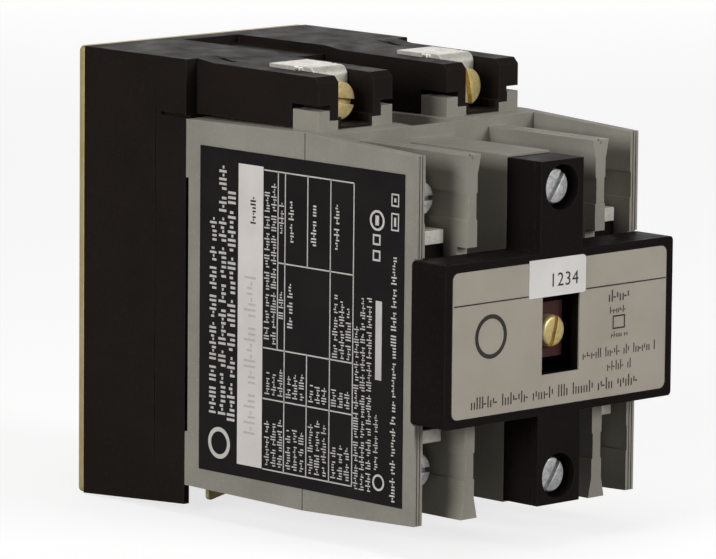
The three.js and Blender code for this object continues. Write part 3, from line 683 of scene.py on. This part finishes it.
def build_screws():
    for end in ENDS:
        washer = Extent(f"cover_washer_{end}")
        screw(f"cover_screw_{end}", washer.front - REST, 1.7 * MM, COVER_SLOT)
    screw("carrier_screw", CARRIER.front - REST, 1.75 * MM, CARRIER_SLOT, crown=0.8 * MM)
    for side in SIDES:
        clamp = Extent(f"coil_clamp_{side}")
        screw(f"coil_screw_{side}", clamp.front - REST, 1.75 * MM, COIL_SLOT[side])
        for end in ENDS:
            clamp = Extent(f"contact_clamp_{side}_{end}")
            screw(f"contact_screw_{side}_{end}", clamp.front - REST, 1.75 * MM, CONTACT_SLOT)


# ---- wires ----
def tube(bm, points, radius, sides=12):
    """A round wire through points, closed at both ends."""
    rings = []
    across = None
    for i, point in enumerate(points):
        before = points[max(i - 1, 0)]
        after = points[min(i + 1, len(points) - 1)]
        along = (after - before).normalized()
        if across is None:
            across = along.orthogonal().normalized()
        across = (across - along * across.dot(along)).normalized()
        other = along.cross(across)
        rings.append([bm.verts.new(point + radius * (math.cos(math.tau * k / sides) * across
                      + math.sin(math.tau * k / sides) * other)) for k in range(sides)])
    for one, two in zip(rings, rings[1:]):
        for k in range(sides):
            j = (k + 1) % sides
            bm.faces.new((one[k], one[j], two[j], two[k]))
    bm.faces.new(rings[0][::-1])
    bm.faces.new(rings[-1])


def coil_spring(node, wire, turns):
    """A compression spring with closed ends."""
    extent = Extent(node)
    ring = extent.width / 2 - wire
    back = extent.back - wire
    front = extent.front + wire
    steps = 32
    count = turns * steps
    points = []
    for i in range(count + 1):
        a = math.tau * i / steps
        t = i / count
        closed = 0.75 / turns
        eased = min(max((t - closed) / (1 - 2 * closed), 0), 1) * 0.86 + 0.07 * min(t / closed, 1) \
            + 0.07 * min(max((t - 1 + closed) / closed, 0), 1)
        points.append(Vector((extent.x + ring * math.cos(a), back + (front - back) * eased,
                              extent.z + ring * math.sin(a))))
    bm = bmesh.new()
    tube(bm, points, wire)
    made = from_bmesh(node + "_wire", bm)
    smooth(made, 60)
    settle(made, node)
    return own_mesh(made)


def build_springs():
    for side in SIDES:
        coil_spring(f"return_spring_{side}", 0.4 * MM, 6)
        coil_spring(f"contact_spring_{side}", 0.3 * MM, 4)


def build_leads():
    for side in SIDES:
        skin(f"coil_lead_{side}", 0)


# ---- print ----
class Print:
    """Thin marks on a flat face. place(u, v, lift) gives the point of a page position."""

    def __init__(self, place, lift=0.03):
        self.place = place
        self.bm = bmesh.new()
        self.low = 0.005 * MM
        self.high = lift * MM

    def patch(self, corners):
        """A flat mark through corners, given in order round its edge."""
        under = [self.bm.verts.new(self.place(u * MM, v * MM, self.low)) for u, v in corners]
        over = [self.bm.verts.new(self.place(u * MM, v * MM, self.high)) for u, v in corners]
        self.bm.faces.new(over)
        self.bm.faces.new(under[::-1])
        for i in range(len(corners)):
            j = (i + 1) % len(corners)
            self.bm.faces.new((under[i], under[j], over[j], over[i]))

    def block(self, u0, u1, v0, v1):
        self.patch([(u0, v0), (u1, v0), (u1, v1), (u0, v1)])

    def frame(self, u0, u1, v0, v1, stroke):
        self.block(u0, u1, v0, v0 + stroke)
        self.block(u0, u1, v1 - stroke, v1)
        self.block(u0, u0 + stroke, v0 + stroke, v1 - stroke)
        self.block(u1 - stroke, u1, v0 + stroke, v1 - stroke)

    def arc(self, u, v, radius, stroke, start=0.0, turn=math.tau):
        steps = max(6, round(turn / math.tau * 28))
        for i in range(steps):
            a, b = start + turn * i / steps, start + turn * (i + 1) / steps
            inner = radius - stroke
            self.patch([(u + r * math.cos(c), v + r * math.sin(c))
                        for r, c in ((inner, a), (radius, a), (radius, b), (inner, b))])

    def words(self, u0, u1, v0, v1, chance, bold=0.26):
        """A row of plain ticks and dashes with the rhythm of print. It spells nothing."""
        tall = v1 - v0
        thin = tall * bold * 0.7
        u = u0
        left = chance.randint(3, 8)
        while u < u1 - tall * 0.4:
            if left == 0:
                left = chance.randint(3, 9)
                u += tall * 0.45
                continue
            left -= 1
            low, high = chance.choice(((0, 1), (0, 0.62), (0, 0.62), (0.3, 0.75), (0, 1)))
            self.block(u, u + thin, v0 + low * tall, v0 + high * tall)
            if chance.random() < 0.3:
                dash_u = u + thin * 1.6
                dash_v = v0 + tall * 0.3
                self.block(dash_u, dash_u + tall * 0.26, dash_v, dash_v + thin)
                u += tall * 0.3
            u += thin + tall * 0.2

    def finish(self, name, node, look):
        made = from_bmesh(name, self.bm)
        return settle(made, node, look, stands_for=False)


def on_label(u, v, lift):
    """The rating label reads upwards: u runs up from its lower edge, v back from its front edge."""
    return Vector((LABEL.left - lift, LABEL.front + v, LABEL.bottom + u))


def label_row(depth0, depth1):
    """Page v of two distances from the wall, in millimetres, lowest first."""
    front = -LABEL.front / MM
    return front - depth1, front - depth0


def rise(z):
    return z - LABEL.bottom / MM


def print_title(page, chance):
    for near, far, start, end in ((40.8, 42.8, -25, 16), (43.5, 45.7, -25, 27), (46.2, 48.5, -26, 22)):
        page.words(rise(start), rise(end), *label_row(near, far), chance, bold=0.34)


def print_mark(page):
    """A plain ring."""
    v0, v1 = label_row(40.6, 47.2)
    page.arc(rise(-31.0), (v0 + v1) / 2, 3.3, 0.9)


def print_table(page, chance):
    stroke = 0.28

    def down(depth, z0, z1):
        page.block(rise(z0), rise(z1), *label_row(depth - stroke / 2, depth + stroke / 2))

    def across(z, d0, d1):
        page.block(rise(z) - stroke / 2, rise(z) + stroke / 2, *label_row(d0, d1))

    top, upper, middle, lower, bottom = 27.0, 8.4, -9.5, -20.0, -34.6
    left, head, first, second, third, last = 56.9, 61.1, 63.2, 69.8, 76.5, 83.2
    for z in (top, bottom):
        across(z, left, last)
    across(upper, head, last)
    across(middle, left, last)
    across(lower, left, last)
    down(head, middle, top)
    for depth in (first, third, last):
        down(depth, bottom, top)
    down(second, upper, top)
    down(second, bottom, middle)
    for start, end, near, far in ((-7.7, 23, 57.1, 58.6), (-8.5, 25, 59.1, 60.6), (-3, 2.5, 61.4, 62.8),
                                  (14.5, 21.5, 61.4, 62.8)):
        page.words(rise(start), rise(end), *label_row(near, far), chance)
    for depth in (first, second, third):
        page.words(rise(13), rise(22), *label_row(depth + 1.0, depth + 2.5), chance, bold=0.32)
    page.words(rise(-4.6), rise(4.6), *label_row(first + 0.8, first + 2.3), chance, bold=0.32)
    for row in range(3):
        near = third + 0.7 + 1.95 * row
        page.words(rise(-9), rise(4.2 - row), *label_row(near, near + 1.5), chance)
    for column, (short, long) in ((56.9, (-13.6, -23.8)), (first, (-13.8, -25.0)), (second, (-15, -22.6)),
                                  (third, (-15.2, -26.6))):
        for row in range(3):
            near = column + 0.5 + 1.95 * row
            page.words(rise(-19), rise(short), *label_row(near, near + 1.45), chance)
            page.words(rise(-33.7), rise(long), *label_row(near, near + 1.45), chance)


def print_foot(page, chance):
    for near, end in ((83.5, -1.6), (85.3, 4.6), (87.2, 5.0)):
        page.words(rise(-35), rise(end), *label_row(near, near + 1.4), chance)
    page.block(rise(-12), rise(4), *label_row(89.7, 91.5))
    page.words(rise(-30.3), rise(-19), *label_row(89.3, 90.6), chance)
    page.arc(rise(-32.8), label_row(90.9, 90.9)[0], 1.7, 0.45)
    page.arc(rise(20.2), label_row(89.9, 89.9)[0], 2.1, 0.5)
    page.block(rise(19.2), rise(21.2), *label_row(89.4, 90.4))
    for start in (12.0, 15.2):
        page.frame(rise(start), rise(start + 2.2), *label_row(88.7, 90.9), 0.4)
    for start, end in ((18.6, 22.2), (23.5, 26.1)):
        v0, v1 = label_row(93.9, 96.1)
        page.frame(rise(start), rise(end), v0, v1, 0.3)
        page.block(rise(start) + 0.9, rise(end) - 0.9, v0 + 0.8, v1 - 0.8)
    page.words(rise(-36.2), rise(14.6), *label_row(94.1, 95.6), chance, bold=0.3)


def build_rating_print():
    chance = random.Random(11)
    page = Print(on_label)
    print_title(page, chance)
    print_mark(page)
    print_table(page, chance)
    print_foot(page, chance)
    page.finish("rating_print", "rating_label", "white_ink")
    strip = Print(on_label, 0.025)
    strip.block(rise(-34.6), rise(27.6), *label_row(49.3, 56.7))
    strip.finish("rating_strip", "rating_label", "silver_print")
    marks = Print(on_label, 0.04)
    marks.low = 0.02 * MM
    marks.words(rise(15.6), rise(21.5), *label_row(52.9, 54.5), chance, bold=0.34)
    marks.finish("rating_strip_print", "rating_label", "dark_ink")
    stamped = Print(on_label, 0.035)
    stamped.low = 0.02 * MM
    stamped.words(rise(-28), rise(6), *label_row(51.2, 54.6), chance, bold=0.2)
    stamped.finish("rating_strip_stamp", "rating_label", "faint_ink")


def on_front(u, v, lift):
    """The nameplate's page: u across from the middle, v up from its middle."""
    return Vector((u, NAMEPLATE.front - lift, NAMEPLATE.z + v))


def build_nameplate_print():
    chance = random.Random(5)
    page = Print(on_front)
    base = NAMEPLATE.z / MM
    half = NAMEPLATE.width / 2 / MM - 0.2
    line = 4.9 - base
    page.block(-half, half, line - 0.14, line + 0.14)
    page.arc(-20.0, -2.0 - base, 4.5, 0.9)
    page.words(13.8, 20.6, 1.5 - base, 3.9 - base, chance, bold=0.2)
    for k, (low, high) in enumerate(((-0.9, 0.5), (-5.9, -4.7))):
        page.words(14.2 + 0.4 * k, 19.8, low - base, high - base, chance, bold=0.22)
    page.frame(15.0, 18.6, -4.2 - base, -1.4 - base, 0.3)
    page.words(6.4, 28.2, -9.6 - base, -7.6 - base, chance, bold=0.18)
    page.words(13.6, 21.2, -12.6 - base, -10.6 - base, chance, bold=0.18)
    page.words(-25.4, 23.6, -16.3 - base, -13.9 - base, chance, bold=0.18)
    page.finish("nameplate_print", "nameplate", "dark_ink")


def build_sticker():
    """Paper sticker with rounded corners and plain digits."""
    radius = 0.9 * MM
    corners = ((STICKER.right, STICKER.top), (STICKER.left, STICKER.top),
               (STICKER.left, STICKER.bottom), (STICKER.right, STICKER.bottom))
    turns = ((0, 1), (1, 0.1), (2, 0.1), (3, 0.6))
    bm = bmesh.new()
    loop = []
    for (x, z), (quarter, share) in zip(corners, turns):
        r = radius * share
        mid_x = x - r * math.copysign(1, x - STICKER.x)
        mid_z = z - r * math.copysign(1, z - STICKER.z)
        for i in range(5):
            a = math.pi / 2 * (quarter + i / 4)
            loop.append(bm.verts.new((mid_x + r * math.cos(a), STICKER.back, mid_z + r * math.sin(a))))
    face = bm.faces.new(loop)
    lifted = bmesh.ops.extrude_face_region(bm, geom=[face])["geom"]
    for vert in (v for v in lifted if isinstance(v, bmesh.types.BMVert)):
        vert.co.y = STICKER.front
    made = from_bmesh("number_sticker_paper", bm)
    settle(made, "number_sticker")
    letters = bpy.data.curves.new("digits", "FONT")
    letters.body = "1234"
    letters.size = 3.9 * MM
    letters.space_character = 1.1
    letters.extrude = 0.01 * MM
    letters.align_x = "CENTER"
    letters.align_y = "CENTER"
    text = add_object("digits", letters)
    text.rotation_euler = (math.pi / 2, 0, 0)
    text.location = (STICKER.x + 1.85 * MM, STICKER.front - 0.012 * MM, STICKER.z - 0.75 * MM)
    bpy.context.view_layer.update()
    solved = text.evaluated_get(bpy.context.evaluated_depsgraph_get())
    mesh = bpy.data.meshes.new_from_object(solved)
    mesh.transform(text.matrix_world)
    bpy.data.objects.remove(text)
    settle(add_object("number_sticker_digits", mesh), "number_sticker", "dark_ink", stands_for=False)


# ---- stage ----
CAMERA_PLACE = Vector((-0.9007, -0.9813, 0.1971))
CAMERA_RIGHT = Vector((0.7192, -0.6947, 0.0092))
CAMERA_UP = Vector((0.0977, 0.1142, 0.9887))


def build_camera():
    data = bpy.data.cameras.new("camera")
    data.lens = 317.06
    data.sensor_width = 36
    camera = add_object("camera", data)
    right = CAMERA_RIGHT.normalized()
    up = (CAMERA_UP - right * CAMERA_UP.dot(right)).normalized()
    axes = Matrix((right, up, right.cross(up))).transposed()
    camera.matrix_world = Matrix.Translation(CAMERA_PLACE) @ axes.to_4x4()
    bpy.context.scene.camera = camera


def soft_light(name, place, size, power, colour=(1, 1, 1)):
    data = bpy.data.lights.new(name, "AREA")
    data.size = size
    data.energy = power
    data.color = colour
    light = add_object(name, data)
    light.location = place
    target = Vector((0, -0.05, 0))
    light.rotation_euler = (target - Vector(place)).to_track_quat("-Z", "Y").to_euler()
    return light


def build_stage():
    bm = bmesh.new()
    bmesh.ops.create_grid(bm, x_segments=1, y_segments=1, size=6)
    floor = from_bmesh("floor", bm)
    floor.location.z = PLATE.bottom - 0.2 * MM
    look = Look("floor")
    look.set(Base_Color=tint(160, 160, 160), Roughness=0.9)
    look.shader.inputs["Specular IOR Level"].default_value = 0.0
    look.shader.inputs["Emission Color"].default_value = (1, 1, 1, 1)
    seen = look.node("ShaderNodeLightPath").outputs["Is Camera Ray"]
    look.set(Emission_Strength=look.span(seen, 0, 1, 0, 0.75))
    floor.data.materials.append(look.material)
    soft_light("side", (-1.05, -0.15, 0.3), 0.45, 6.8)
    soft_light("front", (0.3, -1.1, 0.4), 0.45, 6.8)
    soft_light("overhead", (-0.1, -0.1, 1.0), 0.6, 3.0)
    soft_light("backdrop", (0.72, 0.75, 0.22), 0.8, 2.2)
    world = bpy.data.worlds.new("world")
    world.use_nodes = True
    tree = world.node_tree
    background = tree.nodes["Background"]
    path = tree.nodes.new("ShaderNodeLightPath")
    seen = tree.nodes.new("ShaderNodeMapRange")
    seen.inputs["To Min"].default_value = 0.06
    seen.inputs["To Max"].default_value = 1.0
    tree.links.new(path.outputs["Is Camera Ray"], seen.inputs["Value"])
    tree.links.new(seen.outputs["Result"], background.inputs["Strength"])
    background.inputs["Color"].default_value = (1, 1, 1, 1)
    bpy.context.scene.world = world
    bpy.context.scene.view_settings.view_transform = "Standard"


build_mouldings()
build_metalwork()
build_cores()
build_screws()
build_springs()
build_leads()
build_rating_print()
build_nameplate_print()
build_sticker()
build_stage()
build_camera()
